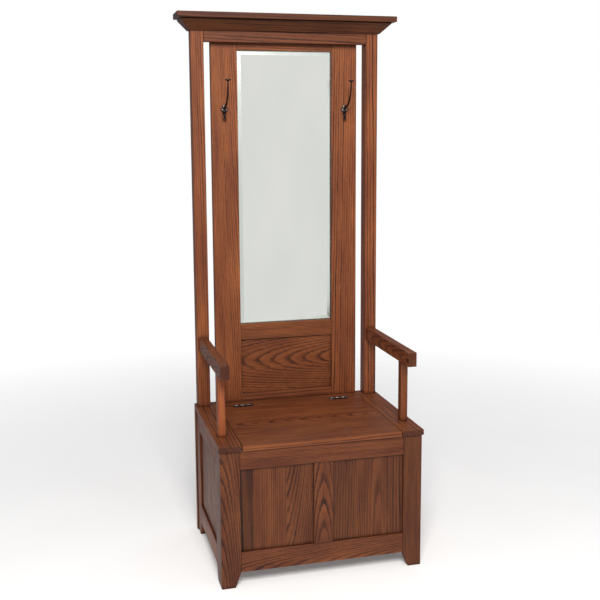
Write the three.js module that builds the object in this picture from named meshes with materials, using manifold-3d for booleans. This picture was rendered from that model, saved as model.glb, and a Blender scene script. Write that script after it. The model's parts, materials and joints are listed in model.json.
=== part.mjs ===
// Oak hall tree in the Mission style: a storage bench with a hinged lid and two arms, and a tall back
// that carries a bevelled mirror, two coat hooks, and a cap over a bevel moulding.
// Millimetres, +Z up. The front faces -Y and the width runs along X. The origin is on the floor, under
// the middle of the whole outline.

import * as THREE from 'three';
import { mergeVertices } from 'three/addons/utils/BufferGeometryUtils.js';
import Module from 'manifold-3d';

const wasm = await Module();
wasm.setup();

// ---------------------------------------------------------------- driving dimensions

const GLUE = 0.3; // clearance kept in every glued, fitted or resting joint
const OVERCUT = 2; // how far a cutter runs past the face it enters
const FRAME = 22; // thickness of every frame member
const RECESS = 7; // how far a panel's face lies behind its frame's face
const GROOVE = 8; // width and depth of a panel groove
const DEPTH = 492; // front edge of the seat to the back
const FRONT = -DEPTH / 2;
const BACK = DEPTH / 2;

const BOARD = 18; // thickness of the seat's boards and of the cap

// Seat: side strips, rear strip and lid, all one board thick
const SEAT_TOP = 457;
const SEAT_BOTTOM = SEAT_TOP - BOARD;
const SEAT_HALF = 331;
const LID_HALF = 257;
const LID_SIDE_GAP = 1.5;
const SEAM_Y = 162; // the seam between the lid and the rear strip
const SEAM_GAP = 1.6;

// Base chest
const BASE_HALF = 327;
const BASE_FRONT = FRONT + 6.5;
const BASE_TOP = SEAT_BOTTOM - GLUE;
const STILE = 62; // width of the front and side stiles
const TOP_RAIL_BOTTOM = 378.5;
const LOW_RAIL_TOP = 114.5;
const LOW_RAIL_BOTTOM = 49;
const FOOT_TAPER = 19;
const MUNTIN_HALF = 31;
const SIDE_FRAME_FRONT = BASE_FRONT + FRAME + GLUE;
const BACK_FRAME_FRONT = BACK - FRAME;
const SIDE_FRAME_BACK = BACK_FRAME_FRONT - GLUE;
const PANEL_BOARD = GROOVE - 2 * GLUE;
const BOTTOM_BOARD_LOW = 62;
const BOTTOM_BOARD_HIGH = 72;

// Upper back
const POST_INNER = 281;
const POST_OUTER = 323;
const POST_FRONT = 198;
const INNER_HALF = 255; // outer edge of the inner stiles
const OPENING_HALF = 165; // half the width of the mirror's opening and of the lower panel's
const BACK_RAIL_TOP = 485;
const MIDDLE_RAIL_BOTTOM = 678;
const MIRROR_LOW = 734;
const MIRROR_HIGH = 1668;
const REBATE = 10;
const REBATE_LIP = 8; // thickness of the frame left in front of the mirror
const GLASS = 4;
const GLASS_EDGE = 2; // what the bevel leaves of the glass at its edge
const GLASS_BEVEL = 24;
const BACKING = 3;

// Crown
const CAP_HALF = 373;
const CAP_FRONT = 141.5;
const CAP_BOTTOM = 1763.5;
const TOP_RAIL_LOW = 1691.5;
const MOULDING_LOW = 1727.5;
const MOULDING_RUN = 37; // how far the moulding reaches out under the cap
const MOULDING_FOOT = 5; // flat at the foot of the slope
const MOULDING_LAND = 4; // height of the upright face under the cap

// Arms
const ARM_CENTRE = 302;
const ARM_WIDTH = 28;
const ARM_LOW = 655;
const ARM_TOP = 701;
const ARM_FRONT = -214;
const SUPPORT = 24;
const SUPPORT_FRONT = -143;

// Hinges: the barrel lies on the seam, on top of the seat
const HINGE_X = 172;
const HINGE_LENGTH = 66;
const BARREL_RADIUS = 4;
const BARREL_Z = SEAT_TOP + BARREL_RADIUS + GLUE;
const LEAF = 1.4;
const LEAF_LOW = SEAT_BOTTOM + 2;
const KNUCKLES = 3;
const PIN_RADIUS = 1.5;
const PIN_BORE = 1.9;
const PIN_HEAD = { radius: 3, length: 1.2 };

// Coat hooks
const HOOK_X = 211;
const HOOK_Z = 1471.5; // height of the screws
const HOOK_PLATE = 3.2;
const PRONG_RADIUS = 3.2;
const EAR_X = 7;
const EAR_RADIUS = 5.5;
const SCREW_RADIUS = 1.7;
const SCREW_HOLE = 2.1;
const SCREW_HEAD = { radius: 3, height: 2 };
const SCREW_LENGTH = 16;

// ---------------------------------------------------------------- looks

const OAK = { color: 0x7c4329, roughness: 0.42, metalness: 0 };
const OAK_SHADED = { color: 0x5f3220, roughness: 0.5, metalness: 0 };
const HARDBOARD = { color: 0x6b5440, roughness: 0.85, metalness: 0 };
const SILVERED_GLASS = { color: 0xd8dcd8, roughness: 0.03, metalness: 1 };
const BRONZE = { color: 0x2b211c, roughness: 0.38, metalness: 0.9 };

// ---------------------------------------------------------------- solids

// How finely the round shapes are cut: sides of the barrels, ears and caps, of the small bars, and of
// the slender rods, and the steps in each curve
const ROUND_SIDES = 16;
const SMALL_SIDES = 12;
const ROD_SIDES = 8;
const CURVE_STEPS = 5;
const DOME_STEPS = 3;
const WELD = 1e-4; // corners closer than this are one corner

function solidOf(geometry) {
  geometry.deleteAttribute('normal');
  geometry.deleteAttribute('uv');
  const merged = mergeVertices(geometry, WELD);
  const vertProperties = new Float32Array(merged.getAttribute('position').array);
  const triVerts = new Uint32Array(merged.getIndex().array);
  return new wasm.Manifold(new wasm.Mesh({ numProp: 3, vertProperties, triVerts }));
}

function block([x0, x1], [y0, y1], [z0, z1]) {
  const geometry = new THREE.BoxGeometry(x1 - x0, y1 - y0, z1 - z0);
  geometry.translate((x0 + x1) / 2, (y0 + y1) / 2, (z0 + z1) / 2);
  return solidOf(geometry);
}

// The same outline with its two coordinates exchanged
function swap(outline) {
  return outline.map(([a, b]) => [b, a]);
}

// The directions that an outline's two axes and its thickness take in each plane
const PLANES = {
  xy: [[1, 0, 0], [0, 1, 0], [0, 0, 1]],
  yz: [[0, 1, 0], [0, 0, 1], [1, 0, 0]],
  zx: [[0, 0, 1], [1, 0, 0], [0, 1, 0]],
};

// An outline in one plane, made solid between two positions along the plane's normal
function prism(plane, outline, [from, to]) {
  const isShape = outline instanceof THREE.Shape;
  const shape = isShape ? outline : new THREE.Shape(outline.map(([a, b]) => new THREE.Vector2(a, b)));
  const settings = { depth: to - from, bevelEnabled: false, curveSegments: CURVE_STEPS };
  const geometry = new THREE.ExtrudeGeometry(shape, settings);
  geometry.translate(0, 0, from);
  const [u, v, w] = PLANES[plane].map((axis) => new THREE.Vector3(...axis));
  geometry.applyMatrix4(new THREE.Matrix4().makeBasis(u, v, w));
  return solidOf(geometry);
}

// A round bar along X
function barX([x0, x1], y, z, radius) {
  const geometry = new THREE.CylinderGeometry(radius, radius, x1 - x0, ROUND_SIDES);
  geometry.rotateZ(Math.PI / 2);
  geometry.translate((x0 + x1) / 2, y, z);
  return solidOf(geometry);
}

// A round bar along Y
function barY(x, [y0, y1], z, radius, sides = SMALL_SIDES) {
  const geometry = new THREE.CylinderGeometry(radius, radius, y1 - y0, sides);
  geometry.translate(x, (y0 + y1) / 2, z);
  return solidOf(geometry);
}

// The same span on the left (side -1) or on the right (side 1) of the centre line
function mirrored(side, [a, b]) {
  return side < 0 ? [-b, -a] : [a, b];
}

const SIDES = [['left', -1], ['right', 1]];

// ---------------------------------------------------------------- the assembly

const hallTree = new THREE.Group();
hallTree.name = 'hall_tree';

function assembly(name, position = [0, 0, 0]) {
  const group = new THREE.Group();
  group.name = name;
  group.position.set(...position);
  hallTree.add(group);
  return group;
}

const base = assembly('base');
const seat = assembly('seat');
const lid = assembly('lid', [0, SEAM_Y, BARREL_Z]);
const back = assembly('back');
const crown = assembly('crown');

// Adds one piece to a group as a mesh whose own origin is the middle of its box
function fit(group, name, solid, look) {
  const { vertProperties, triVerts } = solid.getMesh();
  const geometry = new THREE.BufferGeometry();
  geometry.setAttribute('position', new THREE.BufferAttribute(vertProperties, 3));
  geometry.setIndex(new THREE.BufferAttribute(triVerts, 1));
  geometry.computeBoundingBox();
  const centre = geometry.boundingBox.getCenter(new THREE.Vector3());
  geometry.translate(-centre.x, -centre.y, -centre.z);
  geometry.computeVertexNormals();
  const mesh = new THREE.Mesh(geometry, new THREE.MeshStandardMaterial(look));
  mesh.name = name;
  mesh.position.copy(centre).sub(group.position);
  group.add(mesh);
}

// ---------------------------------------------------------------- base chest, front frame

const FRONT_SPAN = [BASE_FRONT, BASE_FRONT + FRAME];
const FRONT_GROOVE = [BASE_FRONT + RECESS, BASE_FRONT + RECESS + GROOVE];
const FRONT_PANEL = [FRONT_GROOVE[0] + GLUE, FRONT_GROOVE[1] - GLUE];
const STILE_INNER = BASE_HALF - STILE;
const STILE_GROOVE_Z = [LOW_RAIL_BOTTOM + GROOVE, BASE_TOP - GROOVE];
const PANEL_Z = [LOW_RAIL_TOP - PANEL_BOARD, TOP_RAIL_BOTTOM + PANEL_BOARD];
const TOP_TONGUE_Z = [TOP_RAIL_BOTTOM - GLUE, STILE_GROOVE_Z[1] - GLUE];
const LOW_TONGUE_Z = [STILE_GROOVE_Z[0] + GLUE, LOW_RAIL_TOP + GLUE];

// A stile's outline from its inner edge to its outer edge, with the foot's inner edge tapered
function footedStile(inner, outer, top) {
  const outward = Math.sign(outer - inner);
  return [
    [inner, top],
    [inner, LOW_RAIL_BOTTOM],
    [inner + outward * FOOT_TAPER, 0],
    [outer, 0],
    [outer, top],
  ];
}

function frontStile(side) {
  const outline = footedStile(side * STILE_INNER, side * BASE_HALF, BASE_TOP);
  const stile = prism('zx', swap(outline), FRONT_SPAN);
  const groove = mirrored(side, [STILE_INNER - OVERCUT, STILE_INNER + GROOVE]);
  return stile.subtract(block(groove, FRONT_GROOVE, STILE_GROOVE_Z));
}

function frontRail([z0, z1], tongueZ, grooveZ) {
  const half = STILE_INNER - GLUE;
  const tongueHalf = half + PANEL_BOARD;
  return block([-half, half], FRONT_SPAN, [z0, z1])
    .add(block([-tongueHalf, tongueHalf], FRONT_PANEL, tongueZ))
    .subtract(block([-tongueHalf - OVERCUT, tongueHalf + OVERCUT], FRONT_GROOVE, grooveZ));
}

for (const [label, side] of SIDES) {
  fit(base, `${label}_front_stile`, frontStile(side), OAK);
}
const topRailZ = [TOP_RAIL_BOTTOM, BASE_TOP];
const lowRailZ = [LOW_RAIL_BOTTOM, LOW_RAIL_TOP];
const topRailGroove = [TOP_RAIL_BOTTOM - OVERCUT, TOP_RAIL_BOTTOM + GROOVE];
const lowRailGroove = [LOW_RAIL_TOP - GROOVE, LOW_RAIL_TOP + OVERCUT];
fit(base, 'front_top_rail', frontRail(topRailZ, TOP_TONGUE_Z, topRailGroove), OAK);
fit(base, 'front_bottom_rail', frontRail(lowRailZ, LOW_TONGUE_Z, lowRailGroove), OAK);

function muntin() {
  const shoulderZ = [LOW_RAIL_TOP + GLUE, TOP_RAIL_BOTTOM - GLUE];
  let piece = block([-MUNTIN_HALF, MUNTIN_HALF], FRONT_SPAN, shoulderZ)
    .add(block([-MUNTIN_HALF, MUNTIN_HALF], FRONT_PANEL, PANEL_Z));
  for (const [, side] of SIDES) {
    const groove = mirrored(side, [MUNTIN_HALF - GROOVE, MUNTIN_HALF + OVERCUT]);
    piece = piece.subtract(block(groove, FRONT_GROOVE, [PANEL_Z[0] - OVERCUT, PANEL_Z[1] + OVERCUT]));
  }
  return piece;
}
fit(base, 'front_muntin', muntin(), OAK);

for (const [label, side] of SIDES) {
  const width = mirrored(side, [MUNTIN_HALF - PANEL_BOARD, STILE_INNER + PANEL_BOARD]);
  fit(base, `${label}_front_panel`, block(width, FRONT_PANEL, PANEL_Z), OAK);
}

// ---------------------------------------------------------------- base chest, side frames

const SIDE_SPAN = [BASE_HALF - FRAME, BASE_HALF];
const SIDE_GROOVE = [BASE_HALF - RECESS - GROOVE, BASE_HALF - RECESS];
const SIDE_PANEL = [SIDE_GROOVE[0] + GLUE, SIDE_GROOVE[1] - GLUE];
const SIDE_OPENING = [SIDE_FRAME_FRONT + STILE, SIDE_FRAME_BACK - STILE];
const TRAY_GROOVE = 6; // depth of the groove that carries the bottom board

// 'end' is 0 for the front stile and 1 for the rear one
function sideStile(side, end) {
  const inner = SIDE_OPENING[end];
  const outer = [SIDE_FRAME_FRONT, SIDE_FRAME_BACK][end];
  const groove = [[inner - GROOVE, inner + OVERCUT], [inner - OVERCUT, inner + GROOVE]][end];
  return prism('yz', footedStile(inner, outer, BASE_TOP), mirrored(side, SIDE_SPAN))
    .subtract(block(mirrored(side, SIDE_GROOVE), groove, STILE_GROOVE_Z));
}

function sideRail(side, spanZ, tongueZ, grooveZ) {
  const [y0, y1] = [SIDE_OPENING[0] + GLUE, SIDE_OPENING[1] - GLUE];
  return block(mirrored(side, SIDE_SPAN), [y0, y1], spanZ)
    .add(block(mirrored(side, SIDE_PANEL), [y0 - PANEL_BOARD, y1 + PANEL_BOARD], tongueZ))
    .subtract(block(mirrored(side, SIDE_GROOVE), [y0 - GROOVE - OVERCUT, y1 + GROOVE + OVERCUT], grooveZ));
}

for (const [label, side] of SIDES) {
  fit(base, `${label}_side_front_stile`, sideStile(side, 0), OAK);
  fit(base, `${label}_side_rear_stile`, sideStile(side, 1), OAK);
  fit(base, `${label}_side_top_rail`, sideRail(side, topRailZ, TOP_TONGUE_Z, topRailGroove), OAK);
  const trayGroove = block(
    mirrored(side, [SIDE_SPAN[0] - OVERCUT, SIDE_SPAN[0] + TRAY_GROOVE]),
    [SIDE_OPENING[0] - OVERCUT, SIDE_OPENING[1] + OVERCUT],
    [BOTTOM_BOARD_LOW - GLUE, BOTTOM_BOARD_HIGH + GLUE],
  );
  const lowRail = sideRail(side, lowRailZ, LOW_TONGUE_Z, lowRailGroove).subtract(trayGroove);
  fit(base, `${label}_side_bottom_rail`, lowRail, OAK);
  const panelY = [SIDE_OPENING[0] - PANEL_BOARD, SIDE_OPENING[1] + PANEL_BOARD];
  fit(base, `${label}_side_panel`, block(mirrored(side, SIDE_PANEL), panelY, PANEL_Z), OAK);
}

// ---------------------------------------------------------------- base chest, back and bottom

// The base and the upper back have their frames and panels in the same planes
const BACK_SPAN = [BACK_FRAME_FRONT, BACK];
const BACK_GROOVE = [BACK_FRAME_FRONT + RECESS, BACK_FRAME_FRONT + RECESS + GROOVE];
const BACK_PANEL = [BACK_GROOVE[0] + GLUE, BACK_GROOVE[1] - GLUE];

// The rear stiles stand a little proud of the side frames, flush with the edge of the seat
for (const [label, side] of SIDES) {
  const outline = footedStile(side * STILE_INNER, side * SEAT_HALF, BASE_TOP);
  const groove = mirrored(side, [STILE_INNER - OVERCUT, STILE_INNER + GROOVE]);
  const stile = prism('zx', swap(outline), BACK_SPAN)
    .subtract(block(groove, BACK_GROOVE, [LOW_RAIL_BOTTOM, BASE_TOP + OVERCUT]));
  fit(base, `${label}_rear_stile`, stile, OAK);
}
const backBoardHalf = STILE_INNER + PANEL_BOARD;
const backBoardZ = [LOW_RAIL_BOTTOM + GLUE, BASE_TOP];
fit(base, 'base_back_board', block([-backBoardHalf, backBoardHalf], BACK_PANEL, backBoardZ), OAK_SHADED);

function bottomBoard() {
  const half = SIDE_SPAN[0] - GLUE;
  const tongueHalf = half + TRAY_GROOVE;
  const [y0, y1] = [SIDE_FRAME_FRONT, SIDE_FRAME_BACK];
  const tongueY = [SIDE_OPENING[0] + 2 * GLUE, SIDE_OPENING[1] - 2 * GLUE];
  const thickness = [BOTTOM_BOARD_LOW, BOTTOM_BOARD_HIGH];
  return block([-half, half], [y0, y1], thickness)
    .add(block([-tongueHalf, tongueHalf], tongueY, thickness))
    .add(block([GLUE - STILE_INNER, STILE_INNER - GLUE], [0, BACK_PANEL[0] - GLUE], thickness));
}
fit(base, 'bottom_board', bottomBoard(), OAK_SHADED);

// ---------------------------------------------------------------- seat strips and lid

const SEAT_Z = [SEAT_BOTTOM, SEAT_TOP];
const STRIP_INNER = LID_HALF + LID_SIDE_GAP;
const LID_REAR = SEAM_Y - SEAM_GAP / 2;
const REAR_STRIP_FRONT = SEAM_Y + SEAM_GAP / 2;

for (const [label, side] of SIDES) {
  const stripX = mirrored(side, [STRIP_INNER, SEAT_HALF]);
  fit(seat, `${label}_seat_strip`, block(stripX, [FRONT, BACK], SEAT_Z), OAK);
}

// Shallow mortises that let the leaves of both hinges into an edge of a board
function leafMortises([y0, y1]) {
  const reach = HINGE_LENGTH / 2 + GLUE;
  const z = [LEAF_LOW - GLUE, SEAT_TOP + OVERCUT];
  return [-HINGE_X, HINGE_X].map((x) => block([x - reach, x + reach], [y0, y1], z));
}

const LEAF_FIXED = [SEAM_Y + GLUE / 2, SEAM_Y + GLUE / 2 + LEAF];
const LEAF_MOVING = [SEAM_Y - GLUE / 2 - LEAF, SEAM_Y - GLUE / 2];

let rearStrip = block([GLUE - STRIP_INNER, STRIP_INNER - GLUE], [REAR_STRIP_FRONT, BACK], SEAT_Z);
for (const mortise of leafMortises([SEAM_Y, LEAF_FIXED[1] + GLUE])) {
  rearStrip = rearStrip.subtract(mortise);
}
fit(seat, 'rear_seat_strip', rearStrip, OAK);

let lidBoard = block([-LID_HALF, LID_HALF], [FRONT, LID_REAR], SEAT_Z);
for (const mortise of leafMortises([LEAF_MOVING[0] - GLUE, SEAM_Y])) {
  lidBoard = lidBoard.subtract(mortise);
}
fit(lid, 'seat_lid', lidBoard, OAK);

// ---------------------------------------------------------------- butt hinges

const KNUCKLE = HINGE_LENGTH / KNUCKLES;

// A leaf and its share of the knuckles: the two outer ones, or the middle one
function hingeLeaf(x, leafY, knuckles) {
  const left = x - HINGE_LENGTH / 2;
  const spanX = [left, left + HINGE_LENGTH];
  let leaf = block(spanX, leafY, [LEAF_LOW, BARREL_Z]);
  for (let i = 0; i < KNUCKLES; i += 1) {
    const knuckleX = [left + i * KNUCKLE, left + (i + 1) * KNUCKLE];
    if (knuckles.includes(i)) {
      const startGap = i > 0 ? GLUE / 2 : 0;
      const endGap = i < KNUCKLES - 1 ? GLUE / 2 : 0;
      const inset = [knuckleX[0] + startGap, knuckleX[1] - endGap];
      leaf = leaf.add(barX(inset, SEAM_Y, BARREL_Z, BARREL_RADIUS));
    } else {
      const clear = [knuckleX[0] - GLUE / 2, knuckleX[1] + GLUE / 2];
      leaf = leaf.subtract(barX(clear, SEAM_Y, BARREL_Z, BARREL_RADIUS + GLUE));
    }
  }
  return leaf.subtract(barX([left - OVERCUT, left + HINGE_LENGTH + OVERCUT], SEAM_Y, BARREL_Z, PIN_BORE));
}

function hingePin(x) {
  const end = HINGE_LENGTH / 2 + GLUE;
  let pin = barX([x - end - PIN_HEAD.length, x + end + PIN_HEAD.length], SEAM_Y, BARREL_Z, PIN_RADIUS);
  for (const [, side] of SIDES) {
    const [h0, h1] = mirrored(side, [end, end + PIN_HEAD.length]);
    pin = pin.add(barX([x + h0, x + h1], SEAM_Y, BARREL_Z, PIN_HEAD.radius));
  }
  return pin;
}

for (const [label, side] of SIDES) {
  const x = side * HINGE_X;
  fit(seat, `${label}_hinge_fixed_leaf`, hingeLeaf(x, LEAF_FIXED, [0, 2]), BRONZE);
  fit(lid, `${label}_hinge_lid_leaf`, hingeLeaf(x, LEAF_MOVING, [1]), BRONZE);
  fit(seat, `${label}_hinge_pin`, hingePin(x), BRONZE);
}

// ---------------------------------------------------------------- upper back frame

const REBATE_SPAN = [BACK_FRAME_FRONT + REBATE_LIP, BACK + OVERCUT];
const BACK_BOTTOM = SEAT_TOP + GLUE;
const BACK_TOP = CAP_BOTTOM - GLUE;
const LOW_GROOVE_Z = [BACK_BOTTOM + GROOVE, MIRROR_LOW - REBATE - GROOVE];
const HIGH_GROOVE_Z = [MIRROR_HIGH + REBATE + GROOVE, BACK_TOP - GROOVE];

function innerStile(side) {
  const grooveX = mirrored(side, [OPENING_HALF - OVERCUT, OPENING_HALF + GROOVE]);
  const rebateX = mirrored(side, [OPENING_HALF - OVERCUT, OPENING_HALF + REBATE]);
  let stile = block(mirrored(side, [OPENING_HALF, INNER_HALF]), BACK_SPAN, [BACK_BOTTOM, BACK_TOP])
    .subtract(block(grooveX, BACK_GROOVE, LOW_GROOVE_Z))
    .subtract(block(grooveX, BACK_GROOVE, HIGH_GROOVE_Z))
    .subtract(block(rebateX, REBATE_SPAN, [MIRROR_LOW - REBATE, MIRROR_HIGH + REBATE]));
  for (const ear of [-EAR_X, EAR_X]) {
    const hole = [BACK_FRAME_FRONT - OVERCUT, BACK_FRAME_FRONT + SCREW_LENGTH + GLUE];
    stile = stile.subtract(barY(side * HOOK_X + ear, hole, HOOK_Z, SCREW_HOLE));
  }
  return stile;
}

function backRail(spanZ, tongueZ) {
  const half = OPENING_HALF - GLUE;
  return block([-half, half], BACK_SPAN, spanZ)
    .add(block([-half - PANEL_BOARD, half + PANEL_BOARD], BACK_PANEL, tongueZ));
}

// A groove or a rebate along the whole edge of a rail
function alongRail(spanY, spanZ) {
  return block([-OPENING_HALF - 2 * GROOVE, OPENING_HALF + 2 * GROOVE], spanY, spanZ);
}

for (const [label, side] of SIDES) {
  fit(back, `${label}_inner_stile`, innerStile(side), OAK);
}
const mirrorTopRail = backRail([MIRROR_HIGH, BACK_TOP], [HIGH_GROOVE_Z[0] + GLUE, HIGH_GROOVE_Z[1] - GLUE])
  .subtract(alongRail(REBATE_SPAN, [MIRROR_HIGH - OVERCUT, MIRROR_HIGH + REBATE]));
fit(back, 'mirror_top_rail', mirrorTopRail, OAK);

const middleRail = backRail([MIDDLE_RAIL_BOTTOM, MIRROR_LOW], [MIDDLE_RAIL_BOTTOM, LOW_GROOVE_Z[1] - GLUE])
  .subtract(alongRail(REBATE_SPAN, [MIRROR_LOW - REBATE, MIRROR_LOW + OVERCUT]))
  .subtract(alongRail(BACK_GROOVE, [MIDDLE_RAIL_BOTTOM - OVERCUT, MIDDLE_RAIL_BOTTOM + GROOVE]));
fit(back, 'middle_rail', middleRail, OAK);

const backBottomRail = backRail([BACK_BOTTOM, BACK_RAIL_TOP], [LOW_GROOVE_Z[0] + GLUE, BACK_RAIL_TOP])
  .subtract(alongRail(BACK_GROOVE, [BACK_RAIL_TOP - GROOVE, BACK_RAIL_TOP + OVERCUT]));
fit(back, 'back_bottom_rail', backBottomRail, OAK);

const backPanelHalf = OPENING_HALF + PANEL_BOARD;
const backPanelZ = [BACK_RAIL_TOP - PANEL_BOARD, MIDDLE_RAIL_BOTTOM + PANEL_BOARD];
fit(back, 'lower_back_panel', block([-backPanelHalf, backPanelHalf], BACK_PANEL, backPanelZ), OAK);

for (const [label, side] of SIDES) {
  let post = block(mirrored(side, [POST_INNER, POST_OUTER]), [POST_FRONT, BACK], [BACK_BOTTOM, BACK_TOP]);
  const mortise = mirrored(side, [POST_INNER - OVERCUT, POST_INNER + GROOVE]);
  post = post.subtract(block(mortise, [POST_FRONT + RECESS, POST_FRONT + RECESS + GROOVE], HIGH_GROOVE_Z));
  fit(back, `${label}_back_post`, post, OAK);
}

// ---------------------------------------------------------------- mirror

const GLASS_HALF = OPENING_HALF + REBATE - GLUE;
const GLASS_Z = [MIRROR_LOW - REBATE + GLUE, MIRROR_HIGH + REBATE - GLUE];
const GLASS_FRONT = REBATE_SPAN[0] + GLUE;
const GLASS_BACK = GLASS_FRONT + GLASS;

// The wedge that grinds one edge's bevel: 'edge' is the glass's edge, 'inward' points to its middle
function bevelWedge(edge, inward) {
  const outside = edge - inward * OVERCUT;
  const slope = (GLASS - GLASS_EDGE) / GLASS_BEVEL;
  return [
    [edge + inward * GLASS_BEVEL, GLASS_FRONT],
    [outside, GLASS_FRONT + slope * (GLASS_BEVEL + OVERCUT)],
    [outside, GLASS_FRONT - OVERCUT],
    [edge + inward * GLASS_BEVEL, GLASS_FRONT - OVERCUT],
  ];
}

function mirrorGlass() {
  const longX = [-GLASS_HALF - OVERCUT, GLASS_HALF + OVERCUT];
  const longZ = [GLASS_Z[0] - OVERCUT, GLASS_Z[1] + OVERCUT];
  return block([-GLASS_HALF, GLASS_HALF], [GLASS_FRONT, GLASS_BACK], GLASS_Z)
    .subtract(prism('xy', bevelWedge(-GLASS_HALF, 1), longZ))
    .subtract(prism('xy', bevelWedge(GLASS_HALF, -1), longZ))
    .subtract(prism('yz', swap(bevelWedge(GLASS_Z[0], 1)), longX))
    .subtract(prism('yz', swap(bevelWedge(GLASS_Z[1], -1)), longX));
}
fit(back, 'mirror_glass', mirrorGlass(), SILVERED_GLASS);

const backingY = [GLASS_BACK + GLUE, GLASS_BACK + GLUE + BACKING];
fit(back, 'mirror_backing_board', block([-GLASS_HALF, GLASS_HALF], backingY, GLASS_Z), HARDBOARD);

const BEAD = REBATE - 2 * GLUE;
const beadY = [backingY[1] + GLUE, BACK];
for (const [label, side] of SIDES) {
  const beadX = mirrored(side, [GLASS_HALF - BEAD, GLASS_HALF]);
  fit(back, `mirror_bead_${label}`, block(beadX, beadY, GLASS_Z), OAK_SHADED);
}
const crossBeadX = [BEAD + GLUE - GLASS_HALF, GLASS_HALF - BEAD - GLUE];
fit(back, 'mirror_bead_bottom', block(crossBeadX, beadY, [GLASS_Z[0], GLASS_Z[0] + BEAD]), OAK_SHADED);
fit(back, 'mirror_bead_top', block(crossBeadX, beadY, [GLASS_Z[1] - BEAD, GLASS_Z[1]]), OAK_SHADED);

// ---------------------------------------------------------------- arms

for (const [label, side] of SIDES) {
  const armX = mirrored(side, [ARM_CENTRE - ARM_WIDTH / 2, ARM_CENTRE + ARM_WIDTH / 2]);
  fit(back, `${label}_arm`, block(armX, [ARM_FRONT, POST_FRONT - GLUE], [ARM_LOW, ARM_TOP]), OAK);
  const supportX = mirrored(side, [ARM_CENTRE - SUPPORT / 2, ARM_CENTRE + SUPPORT / 2]);
  const supportY = [SUPPORT_FRONT, SUPPORT_FRONT + SUPPORT];
  fit(back, `${label}_arm_support`, block(supportX, supportY, [SEAT_TOP + GLUE, ARM_LOW - GLUE]), OAK);
}

// ---------------------------------------------------------------- crown

const capZ = [CAP_BOTTOM, CAP_BOTTOM + BOARD];
fit(crown, 'crown_cap', block([-CAP_HALF, CAP_HALF], [CAP_FRONT, BACK], capZ), OAK);

function crownTopRail() {
  const half = POST_INNER - GLUE;
  const tongue = half + PANEL_BOARD;
  const tongueY = [POST_FRONT + RECESS + GLUE, POST_FRONT + RECESS + GROOVE - GLUE];
  return block([-half, half], [POST_FRONT, BACK_FRAME_FRONT - GLUE], [TOP_RAIL_LOW, BACK_TOP])
    .add(block([-tongue, tongue], tongueY, [TOP_RAIL_LOW + GROOVE, BACK_TOP - GROOVE - GLUE]));
}
fit(crown, 'crown_top_rail', crownTopRail(), OAK);

const MOULDING_Z = [MOULDING_LOW, BACK_TOP];
const SLOPE_TOP = BACK_TOP - MOULDING_LAND;

// The waste under the moulding's slope: 'wall' is the face that it is fixed to, 'outward' points off it
function slopeWaste(wall, outward) {
  const foot = wall + outward * MOULDING_FOOT;
  const nose = wall + outward * MOULDING_RUN;
  const rise = (SLOPE_TOP - MOULDING_LOW) / (MOULDING_RUN - MOULDING_FOOT);
  return [
    [foot - outward * OVERCUT, MOULDING_LOW - rise * OVERCUT],
    [nose + outward * OVERCUT, MOULDING_LOW - rise * OVERCUT],
    [nose + outward * OVERCUT, SLOPE_TOP + rise * OVERCUT],
  ];
}

function frontMoulding() {
  const inner = POST_OUTER - GLUE;
  const nose = inner + MOULDING_RUN;
  const wall = POST_FRONT - GLUE;
  const plan = [[-inner, wall], [-nose, wall - MOULDING_RUN], [nose, wall - MOULDING_RUN], [inner, wall]];
  const longX = [-nose - OVERCUT, nose + OVERCUT];
  return prism('xy', plan, MOULDING_Z).subtract(prism('yz', slopeWaste(wall, -1), longX));
}

function sideMoulding(side) {
  const wall = POST_OUTER + GLUE;
  const nose = wall + MOULDING_RUN;
  const corner = POST_FRONT - GLUE;
  const plan = [[wall, corner], [nose, corner - MOULDING_RUN], [nose, BACK], [wall, BACK]];
  const longY = [corner - MOULDING_RUN - OVERCUT, BACK + OVERCUT];
  const turned = (outline) => outline.map(([a, b]) => [side * a, b]);
  return prism('xy', turned(plan), MOULDING_Z)
    .subtract(prism('zx', swap(turned(slopeWaste(wall, 1))), longY));
}

fit(crown, 'crown_moulding_front', frontMoulding(), OAK);
for (const [label, side] of SIDES) {
  fit(crown, `crown_moulding_${label}`, sideMoulding(side), OAK);
}

// ---------------------------------------------------------------- coat hooks

const PLATE_BACK = BACK_FRAME_FRONT - GLUE;
const PLATE_FRONT = PLATE_BACK - HOOK_PLATE;
// The plate's outline: how far it reaches above and below the screws' height, half its width, where
// its straight sides end, and how far above the tip its sides start to spread
const PLATE = { above: 17, below: 26, half: 6.5, straightAbove: 9, straightBelow: 10, point: 9 };

// A prong's centre line as distances out from the plate's face and up from the screws' height
const UPPER_PRONG = [[-1, 5], [16, 8.5], [34, 14.5], [50, 25.5], [64, 43.5], [73, 67.5], [75, 89.5]];
const LOWER_PRONG = [[0, -9], [3.5, -14], [5.5, -21], [5.5, -30]];
const UPPER_CAP = { radius: 10, height: 8 };
const LOWER_CAP = { radius: 6.5, height: 5 };
const CAP_NECK = 0.9 * PRONG_RADIUS; // where a cap starts, a little thinner than the rod that enters it
const CAP_CONE = 0.75; // share of a cap's height taken by its cone
const CAP_OVERLAP = 1; // how far a cap reaches back along its rod
const STEPS_PER_STATION = 3;

function round(radius) {
  const circle = new THREE.Path().absarc(0, 0, radius, 0, 2 * Math.PI);
  return new THREE.Shape(circle.getPoints(ROD_SIDES).slice(0, ROD_SIDES));
}

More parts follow.
